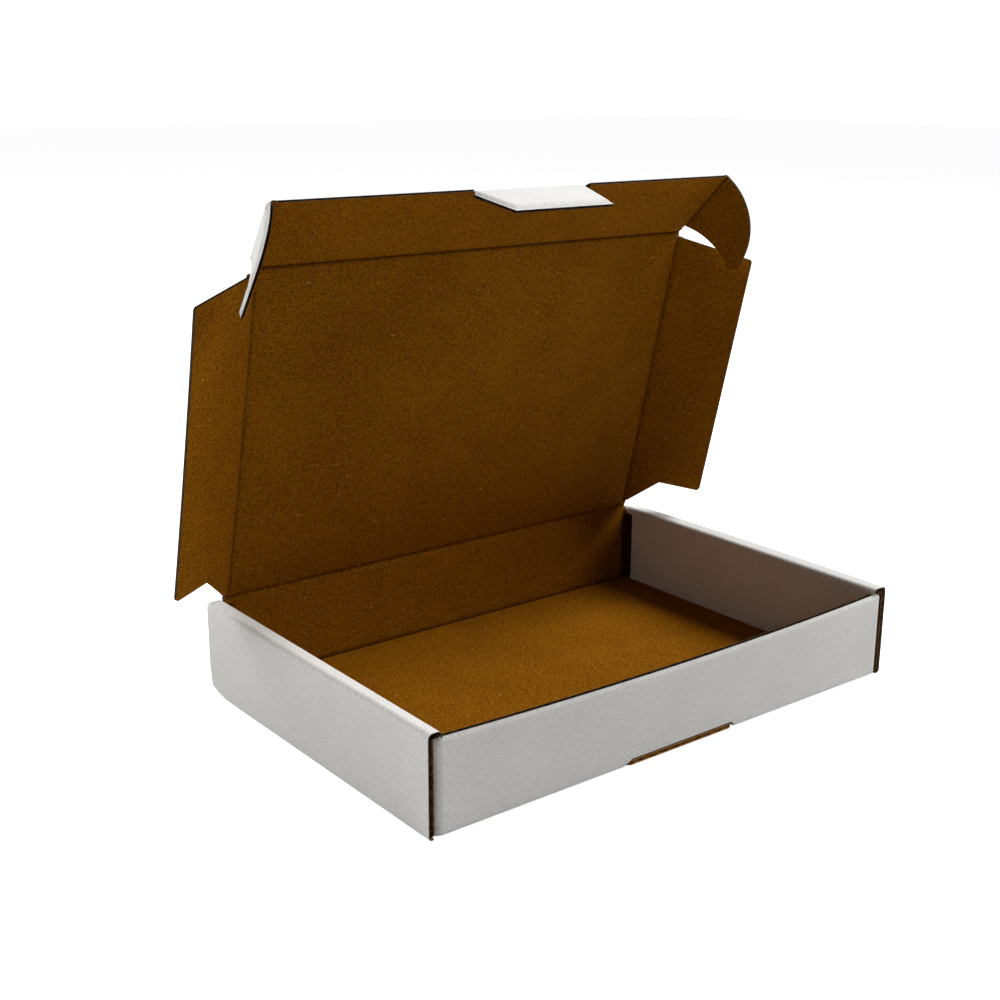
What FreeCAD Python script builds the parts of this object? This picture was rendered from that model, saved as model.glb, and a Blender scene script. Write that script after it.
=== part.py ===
import FreeCAD, Part
import math
import os

# A corrugated mailer box with rolled sides, open, with its lid leaning a little forward.
# The box is one die-cut sheet of board. The tray is its folded and trapped part; the lid,
# its side flaps, its front tuck flap, the two ears and the lock tab turn on creases.
# Millimetres. The origin is on the ground under the middle of the tray. X runs along the
# front wall, Y from the front wall to the hinge wall, Z up.

Vector = FreeCAD.Vector
Placement = FreeCAD.Placement
X_AXIS = Vector(1, 0, 0)
Y_AXIS = Vector(0, 1, 0)
Z_AXIS = Vector(0, 0, 1)

# Board
board = 2.6               # thickness of the corrugated board
air = 0.1                 # air between two layers of board that lie together
crease_gap = 0.15         # air between a crease's round edge and the panel that turns on it
fold = 1.6                # outer radius of a fold

# Tray
length = 257.0            # outside, along the front wall
width = 168.0             # outside, from the front wall to the hinge wall
height = 42.5             # ground to the top of the rolled sides
front_bow = 4.4           # how far the middle of the front wall's top edge bows outward
corner_flap = 60.0        # length of the four corner flaps held inside the rolled sides
inner_end_gap = 2.5       # air between an inner side wall's end and the end wall
foot_tab = 22.0           # length of the tabs that lock the inner side walls into the floor
foot_tab_place = 42.0     # middle of each of those tabs, from the middle of the side
slot_width = 64.0         # lock slot in the front wall's bottom crease, at the ground
slot_top_width = 57.5     # the same slot, at its top
slot_air = 0.5            # air in the slot above the floor's tongue
tongue_gap = 0.4          # air at each end of the tongue

# Lid and flaps, measured from crease to crease or from crease to edge
lid_depth = 153.0
lid_width = 235.5
side_flap = 38.7          # depth of the lid's side flaps
side_flap_start = 18.0    # from the hinge to the side flap's near edge
side_flap_bevel = 17.2    # depth of the bevel that clears the back corner
side_flap_end = 2.8       # from the tuck crease to the side flap's far edge, at the lid
side_flap_taper = 4.7     # how much further that far edge lies at the flap's outer edge
corner_round = 2.0        # radius on the corners of the side flaps and the lock tab
tuck_height = 38.0
ear_foot_spread = 2.0     # how far the ear's crease starts outside the lid's side crease
ear_foot = 4.4            # from the tuck crease to the start of the ear's crease
ear_tilt = 6.4            # lean of the ear's crease, degrees
ear_reach = 34.3          # from the ear's crease to its tip
ear_tip = 4.6             # radius of the ear's tip
ear_tip_place = 5.0       # middle of the tip's round, along the crease from its start
ear_hollow = 3.4          # where the hollow of the ear's near edge lies, along the crease
ear_belly_place = 26.0    # a point on the ear's long curve, along the crease
ear_belly_reach = 22.8    # and out from the crease
tab_crease = 35.2         # from the tuck crease to the lock tab's crease
tab_place = 4.5           # middle of the lock tab, to the right of the lid's middle
tab_width = 63.0          # at its crease
tab_end_width = 53.5
tab_length = 24.0
tab_gap = 0.5             # cut between the lock tab and the tuck flap's free edge

# How far each crease is folded as the box stands, in degrees; a flat sheet is 0
lid_open = 76.9           # from closed
tuck_fold = 29.5
side_fold_left = 26.0
side_fold_right = 48.0
ear_fold_left = 59.0
ear_fold_right = 70.0
tab_fold = 60.0

# Layers of a rolled side, from outside: outer wall, corner flap, inner wall
flap_face = length / 2 - board - air
inner_face = flap_face - 2 * board - air
under_roll = height - board - air
above_floor = board + air
edge_reach = board / 2 + crease_gap


def rounded_face(corners):
    """Flat face from (x, y, radius) corners, each corner an arc of its radius."""
    points = [Vector(x, y, 0) for x, y, radius in corners]
    arcs = []
    for i, point in enumerate(points):
        radius = corners[i][2]
        back = (points[i - 1] - point).normalize()
        on = (points[(i + 1) % len(points)] - point).normalize()
        half = back.getAngle(on) / 2
        reach = radius / math.tan(half)
        middle = point + (back + on).normalize() * (radius / math.sin(half) - radius)
        arcs.append((point + back * reach, middle, point + on * reach))
    edges = []
    for i, (start, middle, end) in enumerate(arcs):
        if corners[i][2] > 0:
            edges.append(Part.Arc(start, middle, end).toShape())
        edges.append(Part.LineSegment(end, arcs[(i + 1) % len(arcs)][0]).toShape())
    return Part.Face(Part.Wire(edges))


def panel(face):
    """Board of full thickness, with the flat face in its middle."""
    body = face.extrude(Z_AXIS * board)
    body.translate(Z_AXIS * (-board / 2))
    return body


def crease_edge(start, end):
    """Round edge that a panel keeps along a crease, from start to end."""
    along = end - start
    return Part.makeCylinder(board / 2, along.Length, start, along)


def block(low, high):
    """Box between two corners."""
    size = Vector(*high) - Vector(*low)
    return Part.makeBox(size.x, size.y, size.z, Vector(*low))


def both_sides(shape, normal):
    """The shape and its mirror image about the middle of the box."""
    return [shape, shape.mirror(Vector(0, 0, 0), normal)]


def rolled_sides():
    """Floor, outer side walls, rolled tops and inner side walls, as one bent strip."""
    half = length / 2
    right = [
        (half, 0, fold), (half, height, fold), (inner_face, height, fold),
        (inner_face, above_floor, 0), (inner_face + board, above_floor, 0),
        (inner_face + board, height - board, 0), (half - board, height - board, 0),
        (half - board, board, 0),
    ]
    left = [(-x, z, radius) for x, z, radius in reversed(right)]
    section = rounded_face(right + left)
    section.rotate(Vector(0, 0, 0), X_AXIS, 90)
    section.translate(Y_AXIS * (width / 2))
    strip = section.extrude(Y_AXIS * -width)
    end = width / 2 - board - inner_end_gap
    for cutter in both_sides(block((inner_face - board, end, above_floor / 2 + board / 2),
                                   (inner_face + board + air / 2, width / 2 + board, under_roll)),
                             X_AXIS):
        for piece in both_sides(cutter, Y_AXIS):
            strip = strip.cut(piece)
    return strip


def foot_tabs(strip):
    """Tabs under the inner side walls, each in its slot through the floor."""
    half = foot_tab / 2
    for x_low in (inner_face, -inner_face - board):
        for middle in (-foot_tab_place, foot_tab_place):
            slot = block((x_low - air, middle - half - air, -air),
                         (x_low + board + air, middle + half + air, above_floor))
            tab = block((x_low, middle - half, 0),
                        (x_low + board, middle + half, above_floor + air))
            strip = strip.cut(slot).fuse(tab)
    return strip


def end_wall_wire(bow, level):
    """Outline of an end wall and its corner flaps, seen from above, bowed at its middle."""
    x, y = flap_face, -width / 2

    def run(x_side, y_front, radius, bulge):
        back = -width / 2 + corner_flap
        rise = radius * (1 - math.sqrt(0.5))
        ends = [Vector(side * x_side, back, level) for side in (-1, 1)]
        bends = [Vector(side * x_side, y_front + radius, level) for side in (-1, 1)]
        knees = [Vector(side * (x_side - rise), y_front + rise, level) for side in (-1, 1)]
        fronts = [Vector(side * (x_side - radius), y_front, level) for side in (-1, 1)]
        curve = Part.BezierCurve()
        curve.setPoles([fronts[0], Vector(0, y_front - 2 * bulge, level), fronts[1]])
        return ends, [
            Part.LineSegment(ends[0], bends[0]).toShape(),
            Part.Arc(bends[0], knees[0], fronts[0]).toShape(),
            curve.toShape(),
            Part.Arc(fronts[1], knees[1], bends[1]).toShape(),
            Part.LineSegment(bends[1], ends[1]).toShape(),
        ]

    outer_ends, outer = run(x, y, fold + board / 2, bow)
    inner_ends, inner = run(x - board, y + board, fold / 2, bow)
    tips = [Part.LineSegment(a, b).toShape() for a, b in zip(inner_ends, outer_ends)]
    return Part.Wire([tips[0]] + outer + [tips[1]] + inner[::-1])


def end_wall(top, bow):
    """Front or back wall with the corner flaps that its ends turn into the rolls."""
    wall = Part.makeLoft([end_wall_wire(0, 0), end_wall_wire(bow, top)], True, True)
    behind = -width / 2 + fold + board / 2
    reach = behind + corner_flap
    for side in (-1, 1):
        low, high = sorted((side * (flap_face - board - air / 2), side * (flap_face + air)))
        wall = wall.cut(block((low, behind, -air), (high, reach, above_floor)))
    return wall


def front_wall():
    """Front wall, with its top edge just under the rolled tops."""
    return end_wall(under_roll, front_bow)


def hinge_wall():
    """Back wall: its middle rises to the lid's crease, and its ends stay under the rolls."""
    wall = end_wall(under_roll, 0)
    half = lid_width / 2
    rise = block((-half, -width / 2, 0), (half, -width / 2 + board, height + board / 2))
    crease_y = -width / 2 + board / 2
    edge = crease_edge(Vector(-half, crease_y, height + board / 2),
                       Vector(half, crease_y, height + board / 2))
    wall = wall.fuse(rise).fuse(edge)
    wall.rotate(Vector(0, 0, 0), Z_AXIS, 180)
    return wall


def soften_bottom(tray):
    """Fold radius along the bottom of the front and hinge walls."""
    half = length / 2 + board
    corner = block((-half, -width / 2 - board, -board), (half, -width / 2 + fold, fold))
    round_bar = Part.makeCylinder(fold, 2 * half, Vector(-half, -width / 2 + fold, fold), X_AXIS)
    for cutter in both_sides(corner.cut(round_bar), Y_AXIS):
        tray = tray.cut(cutter)
    return tray


def lock_slot(tray):
    """Slot in the front wall's bottom crease, over a tongue of floor that stays flat."""
    top = board + slot_air
    half, half_top = slot_width / 2, slot_top_width / 2
    opening = rounded_face([(-half, -air, 0), (half, -air, 0), (half_top, top, 0),
                            (-half_top, top, 0)])
    opening.rotate(Vector(0, 0, 0), X_AXIS, 90)
    opening.translate(Y_AXIS * (-width / 2 + board))
    tray = tray.cut(opening.extrude(Y_AXIS * (-2 * board - front_bow)))
    root, front = half - tongue_gap, half_top - tongue_gap
    tongue = rounded_face([(-front, -width / 2, 0), (front, -width / 2, 0),
                           (root, -width / 2 + board, 0), (root, -width / 2 + 2 * board, 0),
                           (-root, -width / 2 + 2 * board, 0), (-root, -width / 2 + board, 0)])
    return tray.fuse(tongue.extrude(Z_AXIS * board))


def make_tray():
    """Everything of the sheet that is folded up and held: floor, walls, rolls and corner flaps."""
    strip = foot_tabs(rolled_sides())
    tray = strip.fuse(front_wall()).fuse(hinge_wall())
    return lock_slot(soften_bottom(tray)).removeSplitter()


def make_lid():
    """Lid panel from the hinge to the tuck crease, with a round edge along each crease."""
    half = lid_width / 2
    sheet = panel(rounded_face([(-half, edge_reach, 0), (half, edge_reach, 0),
                                (half, lid_depth, 0), (-half, lid_depth, 0)]))
    edges = [crease_edge(Vector(-half, lid_depth, 0), Vector(half, lid_depth, 0))]
    for x in (-half, half):
        edges.append(crease_edge(Vector(x, 2 * edge_reach, 0),
                                 Vector(x, lid_depth - side_flap_end, 0)))
    return sheet.multiFuse(edges).removeSplitter()


def make_side_flap(side):
    """Side flap, drawn with the lid's hinge at x = 0 and its own crease along X."""
    far = lid_depth - side_flap_end
    corners = [
        (2 * edge_reach, edge_reach, 0),
        (side_flap_start, side_flap_bevel, corner_round / 2),
        (side_flap_start, side_flap, corner_round),
        (far - side_flap_taper, side_flap, corner_round / 2),
        (far, edge_reach, 0),
    ]
    if side > 0:
        corners = [(-x, y, radius) for x, y, radius in reversed(corners)]
    return panel(rounded_face(corners))


def make_tuck():
    """Tuck flap between the tuck crease, the two ear creases and its free edge."""
    half = lid_width / 2
    foot = half + ear_foot_spread
    top = foot + (tuck_height - ear_foot) * math.tan(math.radians(ear_tilt))
    cut_left = tab_place - tab_width / 2 - tab_gap
    cut_right = tab_place + tab_width / 2 + tab_gap
    sheet = panel(rounded_face([
        (-half + crease_gap, edge_reach, 0), (half - crease_gap, edge_reach, 0),
        (foot, ear_foot, 0), (top, tuck_height, 0),
        (cut_right, tuck_height, 0), (cut_right, tab_crease, 0),
        (cut_left, tab_crease, 0), (cut_left, tuck_height, 0),
        (-top, tuck_height, 0), (-foot, ear_foot, 0),
    ]))
    edges = [crease_edge(Vector(tab_place - tab_width / 2, tab_crease, 0),
                         Vector(tab_place + tab_width / 2, tab_crease, 0))]
    for side in (-1, 1):
        edges.append(crease_edge(Vector(side * foot, ear_foot, 0),
                                 Vector(side * top, tuck_height, 0)))
    return sheet.multiFuse(edges).removeSplitter()


def make_ear(side):
    """Ear with a long curved edge and a round tip, its own crease along X."""
    run = (tuck_height - ear_foot) / math.cos(math.radians(ear_tilt))
    centre = Vector(ear_tip_place, ear_reach - ear_tip, 0)
    near, far = Vector(crease_gap, edge_reach, 0), Vector(run, edge_reach, 0)
    hollow = Vector(ear_hollow, centre.y / 2, 0)
    belly = Vector(ear_belly_place, ear_belly_reach, 0)
    shoulder = centre + Vector(ear_tip, ear_tip, 0).normalize() * ear_tip
    top = centre + Vector(0, ear_tip, 0)
    under = centre - Vector(ear_tip, 0, 0)
    edges = [
        Part.LineSegment(near, far).toShape(),
        Part.Arc(far, belly, shoulder).toShape(),
        Part.Arc(shoulder, top, under).toShape(),
        Part.Arc(under, hollow, near).toShape(),
    ]
    body = panel(Part.Face(Part.Wire(edges)))
    return body if side < 0 else body.mirror(Vector(0, 0, 0), X_AXIS)


def make_tab():
    """Lock tab on the tuck flap's free edge."""
    half, half_end = tab_width / 2, tab_end_width / 2
    return panel(rounded_face([(-half, edge_reach, 0), (half, edge_reach, 0),
                               (half_end, tab_length, corner_round / 2),
                               (-half_end, tab_length, corner_round / 2)]))


def crease(parent, x, y, turn, folded):
    """Frame of a panel that turns on a crease of its parent, folded towards the inside."""
    at = Placement(Vector(x, y, 0), FreeCAD.Rotation(Z_AXIS, turn))
    bend = Placement(Vector(0, 0, 0), FreeCAD.Rotation(X_AXIS, folded))
    return parent.multiply(at).multiply(bend)


# Frame of each moving panel: its crease is its own X, and Z points to the brown inside
hinge = Placement(Vector(0, width / 2 - board / 2, height + board / 2),
                  FreeCAD.Rotation(X_AXIS, 180 - lid_open))
tuck = crease(hinge, 0, lid_depth, 0, tuck_fold)
ear_x = lid_width / 2 + ear_foot_spread
creases = {
    "lid_panel": hinge,
    "lid_side_flap_left": crease(hinge, -lid_width / 2, 0, 90, side_fold_left),
    "lid_side_flap_right": crease(hinge, lid_width / 2, 0, -90, side_fold_right),
    "tuck_flap": tuck,
    "tuck_ear_left": crease(tuck, -ear_x, ear_foot, 90 + ear_tilt, ear_fold_left),
    "tuck_ear_right": crease(tuck, ear_x, ear_foot, -90 - ear_tilt, ear_fold_right),
    "lock_tab": crease(tuck, tab_place, tab_crease, 0, tab_fold),
}
shapes = {
    "lid_panel": make_lid(),
    "lid_side_flap_left": make_side_flap(-1),
    "lid_side_flap_right": make_side_flap(1),
    "tuck_flap": make_tuck(),
    "tuck_ear_left": make_ear(-1),
    "tuck_ear_right": make_ear(1),
    "lock_tab": make_tab(),
}

os.makedirs("parts", exist_ok=True)
nodes = {"tray": make_tray()}
for name, shape in shapes.items():
    nodes[name] = shape.transformGeometry(creases[name].toMatrix())
for name, shape in nodes.items():
    shape.exportStep(os.path.join("parts", name + ".step"))
    print(name, "solids", len(shape.Solids), "valid", shape.isValid(),
          "volume", round(shape.Volume, 1))
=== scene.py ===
import math
import bpy
import numpy as np
from mathutils import Matrix, Vector


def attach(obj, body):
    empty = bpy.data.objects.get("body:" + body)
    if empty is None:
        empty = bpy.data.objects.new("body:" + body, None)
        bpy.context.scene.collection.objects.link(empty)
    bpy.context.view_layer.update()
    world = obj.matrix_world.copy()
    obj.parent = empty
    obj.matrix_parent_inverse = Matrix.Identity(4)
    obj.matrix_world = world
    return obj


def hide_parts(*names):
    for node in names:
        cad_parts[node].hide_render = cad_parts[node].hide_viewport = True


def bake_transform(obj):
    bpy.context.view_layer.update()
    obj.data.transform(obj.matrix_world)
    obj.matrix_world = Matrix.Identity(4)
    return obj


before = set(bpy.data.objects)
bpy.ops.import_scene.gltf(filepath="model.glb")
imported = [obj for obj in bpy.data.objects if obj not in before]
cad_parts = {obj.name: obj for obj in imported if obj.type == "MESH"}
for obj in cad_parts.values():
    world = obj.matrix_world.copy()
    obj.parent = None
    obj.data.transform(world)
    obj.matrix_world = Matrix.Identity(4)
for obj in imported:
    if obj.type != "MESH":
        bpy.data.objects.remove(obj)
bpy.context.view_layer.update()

# Floor, outer side walls, rolled tops and inner side walls. One strip of the sheet, bent
# round the corner flaps; corrugated board, brown inside and white outside. The flutes run
# from front to back, so the strip's ends show them.
mm = 0.001
board = 2.6            # thickness
pitch = 6.4            # from flute to flute
liner = 0.32           # thickness of each outer paper
length, width, height = 257.0, 168.0, 42.5
roll_radius = 0.9      # of the middle of the board, at the rolled tops
floor_radius = 0.3     # the same at the folds along the floor
inner_wall = 121.8     # middle of an inner side wall
outer_wall = length / 2 - board / 2
inner_wall_end = 78.9  # from the middle of the side to the wall's front end
inner_wall_back = 76.9 # and to its back end
floor_end = 80.4       # where the floor passes into the end walls' folds
tongue_root, tongue_front = 31.6, 28.35   # half the tongue's width at the floor and at its lip
foot_tabs = (-42.0, 42.0)
foot_tab_half = 11.0
play = 0.1             # between a tab or a wall and what it passes or stands on
wrapped = 125.8        # the floor past this stays whole, as the outer wall's foot
flat_end = 2.0         # the floor is sure to be flat this far in from the outer wall
hair = 0.01            # tells a straight run from the arcs beside it
roll_depth = 0.4       # of a roll, under the board's inner face
beside_wall = 3.0      # the strip this near to an inner wall belongs to its roll
narrowing, swelling = 1.7, 1.4            # of the left roll, and of the right roll
knock_up, knock_in = 2.1, 0.9             # of the low corner at the back left
knock_height = 14.0
knock_y, knock_y_fade = 68.0, 16.0        # where it starts along the side, and how it grows
knock_x, knock_x_fade = 104.0, 20.0       # the same across the tray
fold_shade = 1.8       # width of the dark line along a fold of the floor, partly a crease mark and partly painted shade
inside_roll_painted_shade = 0.85     # painted shade: how dark the brown paper is made inside the rolls


class Value:
    """One output of a node. Arithmetic on it adds Math nodes to the same material."""

    def __init__(self, paint, socket):
        self.paint, self.socket = paint, socket

    def maths(self, operation, *operands):
        """A Math node of the operation on the operands."""
        return self.paint.node("ShaderNodeMath", {"operation": operation},
                               dict(enumerate(operands)))

    def sine(self):
        return self.maths("SINE", self)

    def __add__(self, other):
        return self.maths("ADD", self, other)

    def __sub__(self, other):
        return self.maths("SUBTRACT", self, other)

    def __rsub__(self, other):
        return self.maths("SUBTRACT", other, self)

    def __mul__(self, other):
        return self.maths("MULTIPLY", self, other)

    def __lt__(self, other):
        return self.maths("LESS_THAN", self, other)

    def __gt__(self, other):
        return self.maths("GREATER_THAN", self, other)

    __radd__, __rmul__ = __add__, __mul__


class Paint:
    """The nodes of a material or of the world, added one by one."""

    def __init__(self, owner):
        self.owner = owner
        owner.use_nodes = True
        self.tree = owner.node_tree
        self.tree.nodes.clear()

    def node(self, kind, settings=None, sockets=None, output=0):
        """Adds a node, sets its settings, then its sockets' values or links."""
        made = self.tree.nodes.new(kind)
        for key, value in (settings or {}).items():
            setattr(made, key, value)
        for key, value in (sockets or {}).items():
            if isinstance(value, Value):
                self.tree.links.new(value.socket, made.inputs[key])
            else:
                made.inputs[key].default_value = value
        return Value(self, made.outputs[output]) if made.outputs else made

    def mix(self, factor, first, second):
        """Colour between two colours."""
        return self.node("ShaderNodeMix", {"data_type": "RGBA"},
                         {0: factor, 6: first, 7: second}, 2)

    def noise(self, place, scale, detail, roughness):
        """Cloudy noise about one half, its cells 1 / scale wide."""
        return self.node("ShaderNodeTexNoise", None,
                         {"Vector": place, "Scale": scale, "Detail": detail,
                          "Roughness": roughness})

    def stretched(self, place, across, along):
        """The place with its distance across and along the flutes scaled."""
        return self.node("ShaderNodeVectorMath", {"operation": "MULTIPLY"},
                         {0: place, 1: (across, along, 1.0)})


def clamp(value):
    """The value held between 0 and 1."""
    return value.paint.node("ShaderNodeClamp", None, {0: value})


def paper(name, light, dark, speck, grain, fibres, clouds, lines, speck_share):
    """Paper liner. Its colour runs from light to dark with clouds, curled grain and fibres
    that lie with the flutes. Sparse specks take the speck colour. The crease attribute darkens
    it: lines along creases and folds, partly crease marks and partly painted shade, and painted
    shade inside the rolls. The flutes under it show as low waves."""
    paint = Paint(bpy.data.materials.new(name))
    place = paint.node("ShaderNodeAttribute", {"attribute_name": "flat"}, None, 1)
    crease = paint.node("ShaderNodeAttribute", {"attribute_name": "crease"}, None, 2)
    cloud = paint.noise(place, 0.035, 3.0, 0.6)
    coarse = paint.noise(place, 0.6, 2.0, 0.6)
    fine = paint.noise(place, 1.5, 2.0, 0.8)
    fibre = paint.noise(paint.stretched(place, 1.3, 0.2), 1.0, 3.0, 0.65)
    tone = clamp(0.5 + (cloud - 0.5) * clouds + (fine - 0.5) * (3.6 * grain)
                 + (coarse - 0.5) * (0.9 * grain) + (fibre - 0.5) * fibres)
    colour = paint.mix(tone, dark, light)
    cells = {"Vector": place, "Scale": 0.16, "Randomness": 1.0}
    near = paint.node("ShaderNodeTexVoronoi", None, cells, 0)
    chance = paint.node("ShaderNodeTexWhiteNoise", None, {
        "Vector": paint.node("ShaderNodeTexVoronoi", None, cells, 2)})
    colour = paint.mix((near < 0.06) * (chance < speck_share) * 0.75, colour, speck)
    # Painted shade: the crease attribute mixes in a dark brown, for lines along creases and folds
    # (partly real crease marks) and for the shade inside the rolls.
    colour = paint.mix(clamp(crease * 0.93), colour, tuple(c * 0.22 for c in dark[:3]) + (1.0,))
    across = paint.node("ShaderNodeSeparateXYZ", None, {0: place}, 0)
    washboard = (across * (2 * math.pi / pitch)).sine()
    relief = washboard * lines + fine * 0.6 + coarse * 0.4
    normal = paint.node("ShaderNodeBump", None,
                        {"Strength": 0.35, "Distance": 0.00012, "Height": relief})
    surface = paint.node("ShaderNodeBsdfPrincipled", None, {
        "Base Color": colour, "Roughness": clamp(0.78 + (fine - 0.5) * 0.3),
        "Specular IOR Level": 0.03, "Normal": normal})
    paint.node("ShaderNodeOutputMaterial", None, {"Surface": surface})
    return paint.owner


brown = paper("brown_liner", light=(0.335, 0.131, 0.0042, 1.0),
              dark=(0.128, 0.039, 0.0009, 1.0), speck=(0.62, 0.40, 0.13, 1.0),
              grain=1.95, fibres=0.25, clouds=0.7, lines=0.12, speck_share=0.30)
white = paper("white_liner", light=(0.88, 0.875, 0.85, 1.0), dark=(0.66, 0.65, 0.62, 1.0),
              speck=(0.50, 0.47, 0.41, 1.0),
              grain=0.8, fibres=0.15, clouds=0.5, lines=0.12, speck_share=0.10)


def raw_board(name, dark, light):
    """Cut edge and fluting: brown paper, mottled from dark to light along its length."""
    paint = Paint(bpy.data.materials.new(name))
    place = paint.node("ShaderNodeAttribute", {"attribute_name": "flat"}, None, 1)
    coarse = paint.noise(place, 0.55, 3.0, 0.7)
    fine = paint.noise(place, 3.0, 3.0, 0.7)
    tone = clamp(0.5 + (coarse - 0.5) * 2.6 + (fine - 0.5) * 1.2)
    colour = paint.mix(tone, dark, light)
    surface = paint.node("ShaderNodeBsdfPrincipled", None, {
        "Base Color": colour, "Roughness": clamp(0.8 + (fine - 0.5) * 0.3),
        "Specular IOR Level": 0.2})
    paint.node("ShaderNodeOutputMaterial", None, {"Surface": surface})
    return paint.owner


# The cut edges and fluting are coloured far darker than the paper itself: painted shade of the
# flute hollows and of edges turned from the light.
raw_painted_shade = raw_board("cut_edge_painted_shade", dark=(0.014, 0.007, 0.003, 1.0), light=(0.11, 0.06, 0.023, 1.0))
open_end = raw_board("open_end", dark=(0.03, 0.016, 0.007, 1.0), light=(0.30, 0.19, 0.10, 1.0))
# The tongue's edge is coloured far lighter than the paper: painted light on an edge that the
# lamps hardly reach.
torn_painted_light = raw_board("torn_edge_painted_light", dark=(0.38, 0.17, 0.03, 1.0), light=(0.85, 0.50, 0.18, 1.0))


def quads(index):
    """Faces between neighbouring points of a grid of point numbers."""
    return np.stack([index[:-1, :-1], index[1:, :-1], index[1:, 1:], index[:-1, 1:]], -1)


def border(upper, lower, sides):
    """Strips that close the gap between two grids along the named sides."""
    rows = {"low": (lower[:, 0], upper[:, 0]), "high": (upper[:, -1], lower[:, -1]),
            "first": (upper[0], lower[0]), "last": (lower[-1], upper[-1])}
    return [quads(np.stack(rows[side], 1)).reshape(-1, 4) for side in sides]


def board_piece(name, across, along, place, top=None, bottom=None, crease=None,
                fluted=True, hole=None, shift=(0.0, 0.0), edge=raw_painted_shade):
    """Piece of board on a grid of flat points, each given by its distance across and along
    the flutes. Every layer is that grid put in space at a height over the board's middle:
    two faces for each liner, and the fluting, whose height is a sine of the distance across.
    Strips close the liners all round, and join them along the first and last flute. The
    crease values darken the brown side only: lines along creases and folds, partly crease marks
    and partly painted shade, and painted shade inside the rolls."""
    n, m = across.shape
    top = np.full((n, m), board / 2) if top is None else top
    bottom = np.full((n, m), -board / 2) if bottom is None else bottom
    crease = np.zeros((n, m)) if crease is None else crease
    heights, shades = [top, bottom], [crease, 0 * crease]
    if fluted:
        swing = (top - bottom) / 2 - liner
        wave = (top + bottom) / 2 + swing * np.sin(2 * np.pi * across / pitch)
        heights += [top - liner, bottom + liner, wave]
        shades += [crease, 0 * crease, crease]
    layers = [place(across, along, level) for level in heights]
    index = np.arange(len(layers) * n * m).reshape(len(layers), n, m)
    solid = np.ones((n - 1, m - 1), bool)
    if hole is not None:
        centres = [(g[:-1, :-1] + g[1:, 1:]) / 2 for g in (across, along)]
        solid = ~hole(*centres)
    faces = [quads(index[0])[solid], quads(index[1])[solid][:, ::-1]]
    if fluted:
        faces += [quads(index[2])[solid][:, ::-1], quads(index[3])[solid],
                  quads(index[4])[solid]]
        faces += border(index[0], index[2], ("low", "high", "first", "last"))
        faces += border(index[3], index[1], ("low", "high", "first", "last"))
        faces += border(index[2], index[3], ("first", "last"))
    else:
        faces += border(index[0], index[1], ("low", "high", "first", "last"))
    kinds = np.repeat([0, 1] + [2] * (len(faces) - 2), [len(f) for f in faces])
    faces = np.concatenate(faces)
    i, j = n // 2, m // 2
    grid = layers[0]
    facing = np.cross(grid[i, j] - grid[i - 1, j], grid[i, j] - grid[i, j - 1])
    if facing @ (grid[i, j] - layers[1][i, j]) < 0:
        faces = faces[:, ::-1]
    points = np.concatenate([layer.reshape(-1, 3) for layer in layers]) * mm
    mesh = bpy.data.meshes.new(name)
    mesh.from_pydata(points.tolist(), [], faces.tolist())
    mesh.polygons.foreach_set("material_index", kinds.astype(np.int32))
    mesh.polygons.foreach_set("use_smooth", np.ones(len(faces), bool))
    flat = np.stack([np.stack([across + shift[0], along + shift[1], level], -1)
                     for level in heights])
    mesh.attributes.new("flat", "FLOAT_VECTOR", "POINT").data.foreach_set(
        "vector", flat.ravel().astype(np.float32))
    mesh.attributes.new("crease", "FLOAT", "POINT").data.foreach_set(
        "value", np.ravel(shades).astype(np.float32))
    mesh.validate()
    mesh.set_sharp_from_angle(angle=0.7)
    for material in (brown, white, edge):
        mesh.materials.append(material)
    piece = bpy.data.objects.new(name, mesh)
    bpy.context.scene.collection.objects.link(piece)
    return piece


def bent_line(corners, radii, step):
    """Line of straight runs whose corners are arcs of the radii. Returns the distance along
    it, its two coordinates and its heading, every step on the runs and finely in the arcs."""
    corners = np.array(corners, float)
    runs = np.diff(corners, axis=0)
    reach = np.linalg.norm(runs, axis=1)
    ways = runs / reach[:, None]
    heading = np.unwrap(np.arctan2(ways[:, 1], ways[:, 0]))
    turns = np.append(np.diff(heading), 0.0)
    radii = np.append(radii, 0.0)
    cuts = radii * np.tan(np.abs(turns) / 2)
    parts, start, travelled = [], 0.0, 0.0
    for i in range(len(runs)):
        stop = reach[i] - cuts[i]
        t = np.linspace(start, stop, max(2, math.ceil((stop - start) / step) + 1))
        parts.append(np.stack([travelled + t - start, corners[i, 0] + ways[i, 0] * t,
                               corners[i, 1] + ways[i, 1] * t,
                               np.full(len(t), heading[i])]))
        travelled += stop - start
        if i < len(runs) - 1:
            share = np.linspace(0, 1, 9)[1:-1]
            angle = heading[i] + turns[i] * share
            side, radius = np.sign(turns[i]), radii[i]
            left = corners[i] + ways[i] * stop + side * radius * np.array(
                [-ways[i, 1], ways[i, 0]])
            parts.append(np.stack([travelled + radius * abs(turns[i]) * share,
                                   left[0] + side * radius * np.sin(angle),
                                   left[1] - side * radius * np.cos(angle), angle]))
            travelled += radius * abs(turns[i])
            start = cuts[i]
    return np.concatenate(parts, axis=1)


def on_line(line, distance):
    """Coordinates and heading of a bent line at a distance along it."""
    return [np.interp(distance, line[0], values) for values in line[1:]]


def line_shade(distance, reach):
    """Darkness of a crease's line, partly a crease mark and partly painted shade, and how far a
    crease presses in: a bell curve of the distance from it.
    """
    return np.exp(-(distance / reach) ** 2)


strip_line = bent_line([
    (-inner_wall, board + play), (-inner_wall, height - board / 2),
    (-outer_wall, height - board / 2), (-outer_wall, board / 2),
    (outer_wall, board / 2), (outer_wall, height - board / 2),
    (inner_wall, height - board / 2), (inner_wall, board + play),
], [roll_radius, roll_radius, floor_radius, floor_radius, roll_radius, roll_radius], 0.8)


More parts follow.
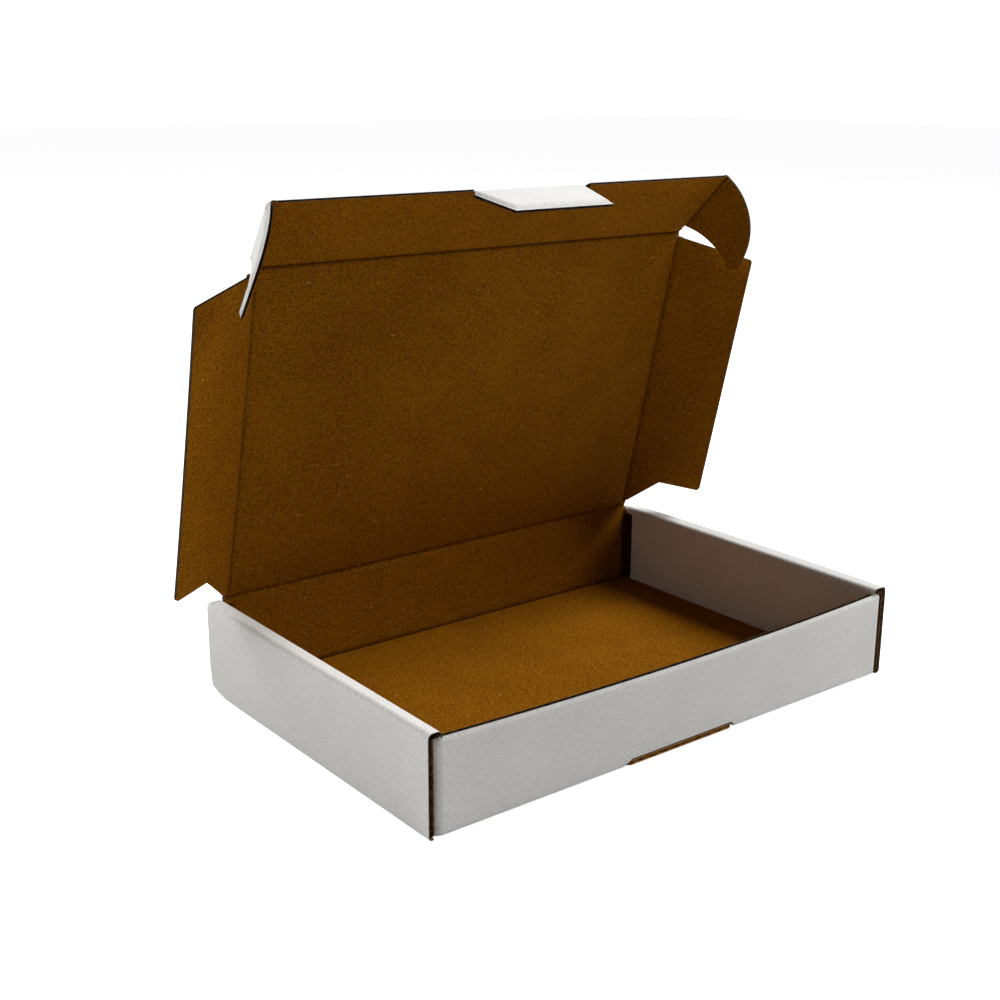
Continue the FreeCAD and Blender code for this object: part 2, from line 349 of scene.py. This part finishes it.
def strip_distance(x):
    """Distance along the strip of a point of the floor."""
    floor = (strip_line[2] < board / 2 + hair) & (np.abs(strip_line[1]) < outer_wall - flat_end)
    return np.interp(x, strip_line[1][floor], strip_line[0][floor])


slot_near, slot_far = inner_wall - board / 2 - play, inner_wall + board / 2 + play
marks = [slot_near, slot_far, wrapped - play, wrapped + play]
strip_run = np.union1d(strip_line[0], strip_distance(np.array(marks + [-x for x in marks])))
strip_x, strip_z = on_line(strip_line, strip_run)[:2]
on_floor = strip_z < board / 2 + 2 * hair
inner_part = (np.abs(strip_x) < inner_wall + hair) & (strip_z > board) \
    & (strip_z < height - board - roll_depth)
ends = np.where(inner_part, inner_wall_end, width / 2)
ends = np.where(on_floor & (np.abs(strip_x) < wrapped), floor_end, ends)
back_ends = np.where(inner_part, inner_wall_back, ends)
slot_rows = np.array([middle + end * (foot_tab_half + play)
                      for middle in foot_tabs for end in (-1, 1)])
rows = np.union1d([0, 0.012, 0.03, 0.07, 0.12, 0.24, 0.4, 0.5, 0.6, 0.76, 0.88, 0.93, 0.97,
                   0.988, 1], (slot_rows + floor_end) / (2 * floor_end))
strip_along = -ends[:, None] + (ends + back_ends)[:, None] * rows
strip_across = np.repeat(strip_run[:, None], len(rows), 1)


def rolled_strip(across, along, level):
    """The strip's line carried from front to back, offset by the level. The left roll narrows
    towards the front, and the right roll swells outwards at the middle of its length; both
    grow with the height over the floor. The low corner at the back left is knocked in."""
    x, z, heading = on_line(strip_line, across)
    x = x - np.sin(heading) * level
    z = z + np.cos(heading) * level
    rise = np.clip(z / height, 0, 1)
    forward = np.clip(0.5 - along / width, 0, 1)
    from_outer = np.clip((x + outer_wall) / (outer_wall - inner_wall), 0, 1)
    left = (x < 0) & (np.abs(x) > inner_wall - beside_wall)
    x = x - np.where(left, narrowing * forward * from_outer * rise ** 2, 0)
    dent = np.clip((along - knock_y) / knock_y_fade, 0, 1) ** 2 \
        * np.clip((-x - knock_x) / knock_x_fade, 0, 1)
    z = z + knock_up * dent * np.clip(1 - z / knock_height, 0, 1)
    x = x + knock_in * dent * np.clip(1 - z / knock_height, 0, 1)
    outward = np.clip((x - inner_wall) / (outer_wall - inner_wall), 0, 1)
    bulge = 1 - (2 * along / width) ** 2
    x = x + np.where(x > inner_wall, swelling * bulge * outward * rise ** 2, 0)
    return np.stack([x, along + 0 * x, z], -1)


def tab_slots(across, along):
    """Where the tabs of the inner walls pass through the floor."""
    x, z = on_line(strip_line, across)[:2]
    beside = (np.abs(x) > slot_near) & (np.abs(x) < slot_far) & (z < board)
    between = np.abs(np.abs(along) - foot_tabs[1]) < foot_tab_half + play
    return beside & between


# Painted shade on the brown side of the strip: a dark line along each fold at the floor, partly a
# crease mark, and darkening of the walls' brown faces inside the rolls.
strip_crease_and_shade = line_shade(np.hypot(np.abs(strip_x) - outer_wall, strip_z - board / 2),
                          fold_shade)
strip_crease_and_shade = np.maximum(strip_crease_and_shade, inside_roll_painted_shade * np.clip((strip_z - board / 2) / 2, 0, 1))
strip_shade = np.repeat(strip_crease_and_shade[:, None], len(rows), 1)
strip = board_piece("tray_sides_and_floor", strip_across, strip_along, rolled_strip,
                    crease=strip_shade, hole=tab_slots, edge=open_end)
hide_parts("tray")
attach(strip, "tray")

tongue_lip_reach = 1.2                    # how far in the knife has pressed the tongue's lip
lip_press_brown, lip_press_white = 0.35, 0.1
tongue_rows = np.linspace(0, 1, 6)
tongue_x = np.linspace(-tongue_root, tongue_root, 81)
tongue_end = np.interp(np.abs(tongue_x), [tongue_front, tongue_root],
                       [width / 2 - play, width / 2 - board])
tongue_along = -tongue_end[:, None] + (tongue_end - floor_end)[:, None] * tongue_rows
tongue_lip = line_shade(tongue_along + width / 2, tongue_lip_reach)
tongue = board_piece(
    "floor_tongue", np.repeat(tongue_x[:, None], len(tongue_rows), 1), tongue_along,
    lambda across, along, level: np.stack([across, along, board / 2 + level], -1),
    board / 2 - lip_press_brown * tongue_lip, -board / 2 + lip_press_white * tongue_lip,
    edge=torn_painted_light)
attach(tongue, "tray")

tab_rise, tab_run = np.meshgrid(np.linspace(0, board + 2 * play, 5),
                                np.linspace(-foot_tab_half, foot_tab_half, 8),
                                indexing="ij")
for side, side_name in ((-1, "left"), (1, "right")):
    for middle, place_name in zip(foot_tabs, ("front", "back")):
        foot = board_piece(
            f"foot_tab_{side_name}_{place_name}", tab_rise, tab_run + middle,
            lambda across, along, level: np.stack(
                [side * (inner_wall + level), along, across], -1))
        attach(foot, "tray")

# Front wall and hinge wall, each with a corner flap at both ends that lies in a rolled side.
# Their flutes stand upright, and they pass into the floor through a fold at the bottom. The
# front wall bows outwards at its top and has the lock slot in its bottom fold.
flap_middle = length / 2 - board * 1.5 - play
wall_middle = width / 2 - board / 2
flap_length = 60.0
corner_radii = [1.1, 2.8]                 # at the right and at the left of the front wall
corner_share = 2.2     # how far round the corner the wall still passes into the floor
wall_top = height - board - play
front_bow = 4.4
bow_end = flap_middle - 2                 # the bow fades out here
lid_half = 235.5 / 2
crease_height = height + board / 2
reach = 3.0            # of a crease's strip, each side of the crease
slot_half, slot_top_half, slot_top = 32.0, 28.75, 3.1
slot_foot = 0.6        # along the fold, to the slot's lower corners
fold_length = 2.2      # of the fold at a wall's foot, along the sheet
wall_press, wall_press_reach = 0.6, 2.0   # how deep and far the front wall's top is crushed
front_fold_shade, back_fold_shade = 0.9, 1.2    # width of the dark lines along the folds, partly crease marks and partly painted shade
tucked_shade = 0.8     # painted shade: how dark the front wall's corner flaps are made inside the rolls

plan = bent_line([(flap_middle, flap_length - width / 2), (flap_middle, -wall_middle),
                  (-flap_middle, -wall_middle), (-flap_middle, flap_length - width / 2)],
                 corner_radii, 0.8)
upright_end = height + 9                  # past the top of either wall
upright = bent_line([(width / 2 - floor_end - board / 2, board / 2), (0, board / 2),
                     (0, upright_end)], [floor_radius], 0.8)
upright[0] += upright_end - upright[0][-1]


def end_wall(bow):
    """Place of a flat point of an end wall: its plan line gives where it stands, its upright
    line the height and the step inwards, and the level goes to the side of the tray. The bow
    is a parabola along the wall that grows evenly with the height."""
    def place(across, along, level):
        x, y, way = on_line(plan, across)
        step, z, climb = on_line(upright, along)
        inwards = step + level * np.sin(climb)
        z = z - level * np.cos(climb)
        shape = np.clip(1 - (x / bow_end) ** 2, 0, 1)
        y = y - bow * shape * np.clip(z / wall_top, 0, 1)
        return np.stack([x + np.sin(way) * inwards, y - np.cos(way) * inwards, z], -1)
    return place


def turned_round(place):
    """The same place turned half round about the middle of the tray."""
    return lambda across, along, level: place(across, along, level) * (-1, -1, 1)


def wall_distance(x):
    """Distance along the plan line of a point of the wall between the corner flaps."""
    wall = plan[2] < -wall_middle + hair
    return np.interp(-np.asarray(x, float), -plan[1][wall], plan[0][wall])


slot_marks = [slot_top_half, slot_half, slot_half + play]
front_run = np.union1d(plan[0], wall_distance(slot_marks + [-x for x in slot_marks]))
wall_x = on_line(plan, front_run)[0]
wall_part = on_line(plan, front_run)[1] < -wall_middle + corner_share
bottom_end = upright[0][0]
lows = np.where(wall_part, bottom_end, board + play)
# Painted shade on the front wall's corner flaps, inside the rolls.
painted_tuck_shade = tucked_shade * ~wall_part[:, None]
slot_edge = np.interp(np.abs(wall_x), [slot_top_half, slot_half, slot_half + play],
                      [slot_top, slot_foot, bottom_end])
lows_front = np.where(np.abs(wall_x) < slot_half + play, slot_edge, lows)
in_fold = upright[0][upright[0] < fold_length]
upright_rows = np.union1d(in_fold, [2.8, 3.4, 5, 9, 16, 24, 31, 36, 37.8, 38.4, 39.1, wall_top])
upright_rows = (upright_rows - bottom_end) / (wall_top - bottom_end)
wall_across = np.repeat(front_run[:, None], len(upright_rows), 1)
front_along = lows_front[:, None] + (wall_top - lows_front)[:, None] * upright_rows
top_press = np.clip((front_along - wall_top + wall_press_reach) / wall_press_reach, 0, 1)
top_press = wall_press * wall_part[:, None] * top_press ** 2 * (3 - 2 * top_press)
front = board_piece("front_wall", wall_across, front_along, end_wall(front_bow),
                    bottom=-board / 2 + top_press,
                    crease=np.maximum(line_shade(front_along - board, front_fold_shade),
                                      painted_tuck_shade), shift=(500, 0))
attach(front, "tray")

hinge_left, hinge_right = 121.0, 120.3    # how far the wall carries the lid's crease
end_shade = 0.9                           # painted shade: how dark the wall is made between the rolls' ends
end_shade_start, end_shade_fade = 116.6, 1.4
back_run = np.union1d(plan[0], wall_distance([hinge_left + play, hinge_left, -hinge_right,
                                              -hinge_right - play]))
back_x = on_line(plan, back_run)[0]
back_part = on_line(plan, back_run)[1] < -wall_middle + corner_share
back_low = np.where(back_part, bottom_end, board + play)
carries = (back_x < hinge_left + play / 2) & (back_x > -hinge_right - play / 2)
back_high = np.where(carries, crease_height - reach, wall_top)
back_across = np.repeat(back_run[:, None], len(upright_rows), 1)
back_along = back_low[:, None] + (back_high - back_low)[:, None] * upright_rows
# Painted shade on the hinge wall near its ends and on its corner flaps, inside the rolls.
back_ends_shade = end_shade * np.clip(
    (np.abs(back_x) - end_shade_start) / end_shade_fade, 0, 1)[:, None]
back_ends_shade = np.where(back_part[:, None], back_ends_shade, end_shade)
back = board_piece("hinge_wall", back_across, back_along, turned_round(end_wall(0)),
                   crease=np.maximum(line_shade(back_along - board, back_fold_shade),
                                     back_ends_shade), shift=(900, 0))
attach(back, "tray")

# Lid panel, hinged to the back wall on a crease. The panel is one piece, and a strip of the
# sheet bends round the crease, half on the wall and half on the lid.
lid_depth = 153.0
lid_open = 76.9
racking = 1.8          # how far the left side stands off near the hinge
rack_start, rack_run = 20.0, 98.0         # where it starts across the lid, and over what length
rack_height = 140.0    # height over the hinge at which it has faded
rim = 1.25             # thickness of an edge that the die has crushed
end_crush = 2.4        # how far the crushing reaches in from a crease's free end
press_reach, shade_reach = 0.8, 0.9       # of a crease's hollow, and of its dark line, partly a crease mark and partly painted shade
brown_press, white_press = 0.35, 0.1      # share of half the board that a crease presses in
crease_left, crease_right = 119.2, 118.8  # from the middle to the ends of the lid's crease
lid_right = 119.0      # to the right end of the strip's edge on the lid


def turn(axis, degrees):
    """Rotation about the first or the third axis, as a matrix of four by four."""
    return np.array(Matrix.Rotation(math.radians(degrees), 4, axis))


def shifted(x, y, z):
    """Step along the three axes, as a matrix of four by four."""
    return np.array(Matrix.Translation((x, y, z)))


def put(matrix, x, y, z):
    """Flat coordinates carried into the row frame by a matrix."""
    points = np.stack(np.broadcast_arrays(x, y, z), -1)
    return points @ matrix[:3, :3].T + matrix[:3, 3]


def racked(points):
    """The lid's left side stands off a little near the hinge: each point moves to the left by
    a share that grows towards that side and fades evenly with the height."""
    side = np.clip((-points[..., 0] - rack_start) / rack_run, 0, 1)
    low = np.clip(1 - np.abs(points[..., 2] - crease_height) / rack_height, 0, 1) ** 2
    low = low * np.clip((points[..., 2] - crease_height + reach) / reach, 0, 1)
    return points - np.stack([racking * side * low, 0 * low, 0 * low], -1)


wall_frame = shifted(0, wall_middle, crease_height) @ turn("X", 90)
hinge_fold = 90 - lid_open
lid_frame = wall_frame @ turn("X", hinge_fold)


def crease_strip(name, matrix, fold, starts, stops, reach, shift, free, dark):
    """Strip of the sheet over a crease. Its flat coordinates are the distance along the
    crease and across it. Each point is turned about the crease by a share of the fold, a
    smooth step across the strip, and both faces are pressed in towards the crease, the brown
    one more. The starts and stops are its ends at the first edge, on the crease and at the
    last edge. Free ends are crushed as cut edges are."""
    y = np.linspace(-reach, reach, 13)
    share = np.union1d(np.linspace(0, 1, 60), [0.006, 0.012, 0.025, 0.975, 0.988, 0.994])
    low = np.interp(y, [-reach, 0, reach], starts)
    high = np.interp(y, [-reach, 0, reach], stops)
    x = low + (high - low) * share[:, None]
    y = np.broadcast_to(y, x.shape)
    press = line_shade(y, press_reach)
    top = board / 2 * (1 - brown_press * press)
    from_end = np.clip(np.minimum(x - low, high - x) / end_crush, 0, 1)
    ends = (board - rim) * (1 - from_end ** 2 * (3 - 2 * from_end)) * free
    bottom = -board / 2 * (1 - white_press * press) + ends

    def bend(along, across, level):
        t = (across + reach) / (2 * reach)
        angle = math.radians(fold) * t * t * (3 - 2 * t)
        return racked(put(matrix, along, across * np.cos(angle) - level * np.sin(angle),
                          across * np.sin(angle) + level * np.cos(angle)))

    # The dark line along the crease is partly a crease mark and partly painted shade in the fold.
    piece = board_piece(name, x, y, bend, top, bottom, dark * line_shade(y, shade_reach),
                        fluted=False, shift=shift)
    middle = (low.mean() + high.mean()) / 2
    start = put(matrix, middle, -reach, 0) * mm
    turned = matrix @ turn("X", fold)
    end = put(turned, middle, reach, 0) * mm
    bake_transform(piece)


crease_strip("hinge_crease", wall_frame, hinge_fold,
             [-hinge_left, -crease_left, -lid_half], [hinge_right, crease_right, lid_right],
             reach, shift=(0, 300), free=0, dark=0.45)

ease = np.array([0, 0.02, 0.05, 0.1, 0.2, 0.35, 0.5, 0.65, 0.8, 0.9, 0.95, 0.98, 1])


def flat_grid(first, last, step, low, high):
    """Grid of flat points between two distances across, each column between the low and the
    high end that the two functions give it."""
    across = np.linspace(first, last, math.ceil(abs(last - first) / step) + 1)
    across = np.repeat(across[:, None], len(ease), 1)
    lows, highs = low(across[:, :1]), high(across[:, :1])
    return across, lows + (highs - lows) * ease


lid_x, lid_y = flat_grid(-lid_half + reach, lid_half - reach, 0.8,
                         lambda x: reach + 0 * x, lambda x: lid_depth - reach + 0 * x)
lid = board_piece("lid_board", lid_x, lid_y,
                  lambda across, along, level: racked(put(lid_frame, across, along, level)),
                  shift=(0, 300))
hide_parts("lid_panel")
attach(lid, "lid_panel")

# Side flaps of the lid, cut with a bevel at the hinge and a slant at the tuck flap. The die
# has crushed their free edges to a thin rim. Their flutes run along the crease.
side_flap = 38.7       # width, from its crease to its free edge
flap_start = 18.0      # its near end past the bevel, from the hinge
flap_bevel = 17.2      # width at which the bevel ends
flap_end = lid_depth - 2.8                # its far end at the crease, from the hinge
flap_taper = 4.7       # how far that end slants back over the width
crushed = 2.6          # how far the crushing reaches in from the edge
off_crease = 1.45      # where a flap's outline starts, from its crease
flap_near = 2.9        # the bevel's near end, from the hinge
side_crease_start = 2.2                   # near end of the crease, from the hinge
flap_round, flap_far_round = 2.0, 1.0     # the near and the far corner
side_folds = {"left": 26.0, "right": 48.0}


def edge_distance(x, y, outline):
    """Distance of each point from the nearest run of an open outline."""
    outline = np.array(outline, float)
    start, run = outline[:-1], np.diff(outline, axis=0)
    real = np.abs(run).max(1) > 1e-6
    start, run = start[real], run[real]
    point = np.stack([x, y], -1)[..., None, :]
    t = np.clip(((point - start) * run).sum(-1) / (run * run).sum(-1), 0, 1)
    return np.linalg.norm(point - start - t[..., None] * run, axis=-1).min(-1)


def crushed_bottom(distance):
    """Height of the white face: full board, rising to the rim by a smooth step at the edge."""
    t = np.clip(distance / crushed, 0, 1)
    return board / 2 - rim - (board - rim) * t * t * (3 - 2 * t)


def flap_low(y):
    """Near end of the flap: along the bevel, then straight, with a round corner."""
    bevel = np.interp(y, [off_crease, flap_bevel], [flap_near, flap_start])
    past = np.clip(y - (side_flap - flap_round), 0, flap_round)
    return bevel + (flap_round - np.sqrt(np.clip(flap_round ** 2 - past ** 2, 0, None)))


def flap_high(y):
    """Far end of the flap: slanted, with a small round corner."""
    past = np.clip(y - (side_flap - flap_far_round), 0, flap_far_round)
    corner = flap_far_round - np.sqrt(np.clip(flap_far_round ** 2 - past ** 2, 0, None))
    return flap_end - flap_taper * (y - off_crease) / (side_flap - off_crease) - corner


for side, side_name, longer in ((-1, "left", 2.5), (1, "right", 0.0)):
    fold = side_folds[side_name]
    flap_y, flap_x = flat_grid(side_flap, reach, 0.7, lambda y: flap_low(y) - longer, flap_high)
    flap_outline = [(flap_near - longer, off_crease), (flap_start - longer, flap_bevel),
                    (flap_start - longer, side_flap), (flap_end - flap_taper, side_flap),
                    (flap_end, off_crease)]
    flap_bottom = crushed_bottom(edge_distance(flap_x, flap_y, flap_outline))
    unfolded = lid_frame @ shifted(side * lid_half, 0, 0) @ turn("Z", -side * 90)
    flap_frame = unfolded @ turn("X", fold)
    starts = [reach, side_crease_start, flap_low(reach) - longer]
    stops = [lid_depth - reach] * 3
    if side > 0:
        starts, stops = [-x for x in stops], [-x for x in starts]
    crease_strip(f"{side_name}_side_crease",
                 unfolded, fold, starts, stops, reach, shift=(0, 300), free=0, dark=0.4)
    flap = board_piece(
        f"side_flap_{side_name}_board", flap_y, flap_x,
        lambda across, along, level: racked(
            put(flap_frame, -side * along, across, level)),
        bottom=flap_bottom, shift=(side * 150, 300))
    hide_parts(f"lid_side_flap_{side_name}")
    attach(flap, f"lid_side_flap_{side_name}")

# Tuck flap on the lid's front crease. Its free edge is crushed, and steps back at the lock
# tab's crease. The two ears turn on creases along its ends.
tuck_height = 38.0
tuck_fold = 29.5
ear_spread, ear_foot, ear_tilt = 2.0, 4.4, 6.4
small_reach = 2.0
tab_crease, tab_place, tab_width = 35.2, 4.5, 63.0
tab_step = 0.5         # run of the steps beside the lock tab
beyond = 130           # past either end of the flap
tuck_unfolded = lid_frame @ shifted(0, lid_depth, 0)
tuck_frame = tuck_unfolded @ turn("X", tuck_fold)
crease_strip("tuck_crease", tuck_unfolded, tuck_fold,
             [-lid_half] * 3, [lid_half] * 3, reach, shift=(0, 450), free=1, dark=0.9)


def tuck_side(y):
    """Half the width of the tuck flap, less the strip over the ear's crease."""
    lean = math.tan(math.radians(ear_tilt))
    return lid_half + ear_spread + (y - ear_foot) * lean - small_reach


cut_left, cut_right = tab_place - tab_width / 2, tab_place + tab_width / 2
top_side = tuck_side(tuck_height)
steps = [cut_left - tab_step, cut_left, cut_right, cut_right + tab_step]
tuck_x = np.union1d(np.linspace(-top_side, top_side, 300), steps)
tuck_top = np.interp(tuck_x, steps, [tuck_height, tab_crease - small_reach,
                                     tab_crease - small_reach, tuck_height])
tuck_along = reach + (tuck_top - reach)[:, None] * ease
tuck_across = (tuck_x / top_side)[:, None] * tuck_side(tuck_along)
tuck_edge = np.minimum(
    edge_distance(tuck_across, tuck_along, [(-beyond, tuck_height), (cut_left, tuck_height)]),
    edge_distance(tuck_across, tuck_along, [(cut_right, tuck_height), (beyond, tuck_height)]))
tuck_flap = board_piece("tuck_flap_board", tuck_across, tuck_along,
                        lambda across, along, level: put(tuck_frame, across, along, level),
                        bottom=crushed_bottom(tuck_edge), shift=(0, 450))
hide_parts("tuck_flap")
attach(tuck_flap, "tuck_flap")

# Ears on the ends of the tuck flap, with a long curved edge, a round tip and a hollow near
# edge, crushed all round. Their flutes run along the crease.
ear_run = (tuck_height - ear_foot) / math.cos(math.radians(ear_tilt))
ear_reach, ear_tip, ear_tip_place = 34.3, 4.6, 5.0
curl_up, curl_down = 4.6, 5.8             # of the left ear: first outwards, then back
ear_waist = (26.0, 22.8)                  # where the long curved edge passes
hollow_foot, hollow_depth = 0.15, 3.4     # of the near edge: at its foot, and halfway up
strip_start, crease_start = -0.8, -0.4    # of an ear's strip on the tuck flap and the crease
ear_folds = {"left": 59.0, "right": 70.0}
tip_height = ear_reach - ear_tip


def through(first, second, third):
    """Centre and radius of the circle through three points."""
    (ax, ay), (bx, by), (cx, cy) = first, second, third
    d = 2 * (ax * (by - cy) + bx * (cy - ay) + cx * (ay - by))
    a2, b2, c2 = ax * ax + ay * ay, bx * bx + by * by, cx * cx + cy * cy
    x = (a2 * (by - cy) + b2 * (cy - ay) + c2 * (ay - by)) / d
    y = (a2 * (cx - bx) + b2 * (ax - cx) + c2 * (bx - ax)) / d
    return x, y, math.hypot(ax - x, ay - y)


shoulder = (ear_tip_place + ear_tip * math.sqrt(0.5), tip_height + ear_tip * math.sqrt(0.5))
outer_curve = through((ear_run, off_crease), ear_waist, shoulder)
hollow = through((hollow_foot, off_crease), (hollow_depth, tip_height / 2),
                 (ear_tip_place - ear_tip, tip_height))


def circle_x(circle, y, side):
    """Where a circle crosses a height, on its left or right."""
    x, centre, radius = circle
    return x + side * np.sqrt(np.clip(radius ** 2 - (y - centre) ** 2, 0, None))


tip = (ear_tip_place, tip_height, ear_tip)
ear_y = np.concatenate([np.linspace(small_reach, tip_height, 34)[:-1],
                        tip_height + ear_tip * np.sin(np.linspace(0, math.pi / 2, 14))])
ear_low = np.where(ear_y < tip_height, circle_x(hollow, ear_y, 1),
                   circle_x(tip, ear_y, -1))
ear_high = np.where(ear_y < shoulder[1], circle_x(outer_curve, ear_y, 1), circle_x(tip, ear_y, 1))
ear_across = np.repeat(ear_y[:, None], len(ease), 1)
ear_along = ear_low[:, None] + (ear_high - ear_low)[:, None] * ease
ear_edge = edge_distance(ear_along, ear_across,
                         list(zip(ear_low, ear_y)) + list(zip(ear_high[::-1], ear_y[::-1])))
for side, side_name, curl in ((-1, "left", 1.0), (1, "right", 0.0)):
    fold = ear_folds[side_name]
    unfolded = tuck_frame @ shifted(side * (lid_half + ear_spread), ear_foot, 0) \
        @ turn("Z", -side * (90 + ear_tilt))
    ear_frame = unfolded @ turn("X", fold)
    starts, stops = [strip_start, crease_start, ear_low[0]], [ear_run] * 2 + [ear_high[0]]
    if side > 0:
        starts, stops = [-x for x in stops], [-x for x in starts]
    crease_strip(f"{side_name}_ear_crease", unfolded,
                 fold, starts, stops, small_reach, shift=(side * 150, 450), free=1, dark=0.3)
    ear = board_piece(
        f"ear_{side_name}_board", ear_across, ear_along,
        lambda across, along, level: put(
            ear_frame, -side * along, across, level + curl * (
                curl_up * (across - small_reach) / ear_reach
                - curl_down * ((across - small_reach) / ear_reach) ** 2)),
        bottom=crushed_bottom(ear_edge), shift=(side * 200, 450))
    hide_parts(f"tuck_ear_{side_name}")
    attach(ear, f"tuck_ear_{side_name}")

# Lock tab on the tuck flap's free edge, folded down over it, white side out. Its three free
# edges are crushed.
tab_end_width, tab_length, tab_fold = 53.5, 24.0, 60.0
tab_cut = 0.4          # off each of its corners at the crease
half, half_end = tab_width / 2 - tab_cut, tab_end_width / 2
tab_unfolded = tuck_frame @ shifted(tab_place, tab_crease, 0)
tab_frame = tab_unfolded @ turn("X", tab_fold)
crease_strip("tab_crease", tab_unfolded, tab_fold,
             [-tab_width / 2] * 2 + [-half], [tab_width / 2] * 2 + [half], small_reach,
             shift=(0, 500), free=1, dark=0.5)
tab_x = np.union1d(np.linspace(-half, half, 80), [-half_end, half_end])
tab_top = np.interp(np.abs(tab_x), [half_end, half], [tab_length, small_reach])
tab_along = small_reach + (tab_top - small_reach)[:, None] * ease
tab_across = np.repeat(tab_x[:, None], len(ease), 1)
tab_edge = edge_distance(tab_across, tab_along, [(-half, small_reach), (-half_end, tab_length),
                                                 (half_end, tab_length), (half, small_reach)])
tab = board_piece("lock_tab_board", tab_across, tab_along,
                  lambda across, along, level: put(tab_frame, across, along, level),
                  bottom=crushed_bottom(tab_edge), shift=(0, 500))
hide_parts("lock_tab")
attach(tab, "lock_tab")

# Floor, light and camera of the picture.
scene = bpy.context.scene
scene.view_settings.view_transform = "Standard"


def pale(name, colour, glow, seen_colour):
    """Surface that light meets as a plain matt colour, and that the camera sees brighter."""
    paint = Paint(bpy.data.materials.new(name))
    path = [paint.node("ShaderNodeLightPath", None, None, key)
            for key in ("Is Camera Ray", "Is Glossy Ray", "Is Transmission Ray")]
    seen = clamp(path[0] + path[1] + path[2])
    lit = paint.node("ShaderNodeBsdfDiffuse", None, {"Color": colour})
    shown = paint.node("ShaderNodeAddShader", None, {
        0: paint.node("ShaderNodeBsdfDiffuse", None, {"Color": seen_colour}),
        1: paint.node("ShaderNodeEmission", None, {"Strength": glow})})
    surface = paint.node("ShaderNodeMixShader", None, {0: seen, 1: lit, 2: shown})
    paint.node("ShaderNodeOutputMaterial", None, {"Surface": surface})
    return paint.owner


span, drop = 6, 0.0005                    # of the ground, and how far it lies under the box
ground_mesh = bpy.data.meshes.new("ground")
ground_mesh.from_pydata([(x * span, y * span, -drop) for x, y in
                         ((-1, -1), (1, -1), (1, 1), (-1, 1))], [], [(0, 1, 2, 3)])
ground_mesh.materials.append(pale("ground", colour=(0.72, 0.72, 0.72, 1.0), glow=0.90,
                                  seen_colour=(0.7, 0.7, 0.7, 1.0)))
ground = bpy.data.objects.new("ground", ground_mesh)
scene.collection.objects.link(ground)

scene.world = bpy.data.worlds.new("soft_room")
air = Paint(scene.world)
way_up = air.node("ShaderNodeSeparateXYZ", None, {
    0: air.node("ShaderNodeTexCoord", None, None, "Generated")}, 2)
strength = air.node("ShaderNodeMapRange", None, {
    "Value": way_up, "From Min": 0.0, "From Max": 0.55, "To Min": 0.17, "To Max": 0.12})
air.node("ShaderNodeOutputWorld", None, {0: air.node("ShaderNodeMixShader", None, {
    0: air.node("ShaderNodeLightPath", None, None, "Is Camera Ray"),
    1: air.node("ShaderNodeBackground", None, {"Strength": strength}),
    2: air.node("ShaderNodeBackground", None, {"Color": (1.0, 1.0, 1.0, 1.0)})})})


def lamp(name, place, aim, size, power):
    """Square soft lamp that faces a point."""
    data = bpy.data.lights.new(name, "AREA")
    data.size, data.energy = size, power
    shade = bpy.data.objects.new(name, data)
    away = np.array(place, float) - np.array(aim, float)
    shade.location = place
    shade.rotation_euler = Vector(away).to_track_quat("Z", "Y").to_euler()
    shade.visible_camera = False
    scene.collection.objects.link(shade)


lamp("key", place=(1.15, -0.35, 1.3), aim=(0, 0, 0), size=0.9, power=35)
lamp("left", place=(-0.7, 1.0, 0.75), aim=(-0.12, 0.05, 0.1), size=1.2, power=17)

camera_place = (-0.4018, -0.47234, 0.26918)
yaw, pitch_down, roll = (math.radians(v) for v in (38.166, 16.425, 0.322))
forward = np.array([math.sin(yaw) * math.cos(pitch_down),
                    math.cos(yaw) * math.cos(pitch_down), -math.sin(pitch_down)])
level_right = np.array([math.cos(yaw), -math.sin(yaw), 0])
level_up = np.cross(level_right, forward)
right = math.cos(roll) * level_right + math.sin(roll) * level_up
up = math.cos(roll) * level_up - math.sin(roll) * level_right
view = bpy.data.cameras.new("camera")
view.sensor_width = 36.0
view.lens = 52.771
camera = bpy.data.objects.new("camera", view)
camera.matrix_world = Matrix([(*row, where) for row, where in
                              zip(np.stack([right, up, -forward], 1), camera_place)]
                             + [(0, 0, 0, 1)])
scene.collection.objects.link(camera)
scene.camera = camera
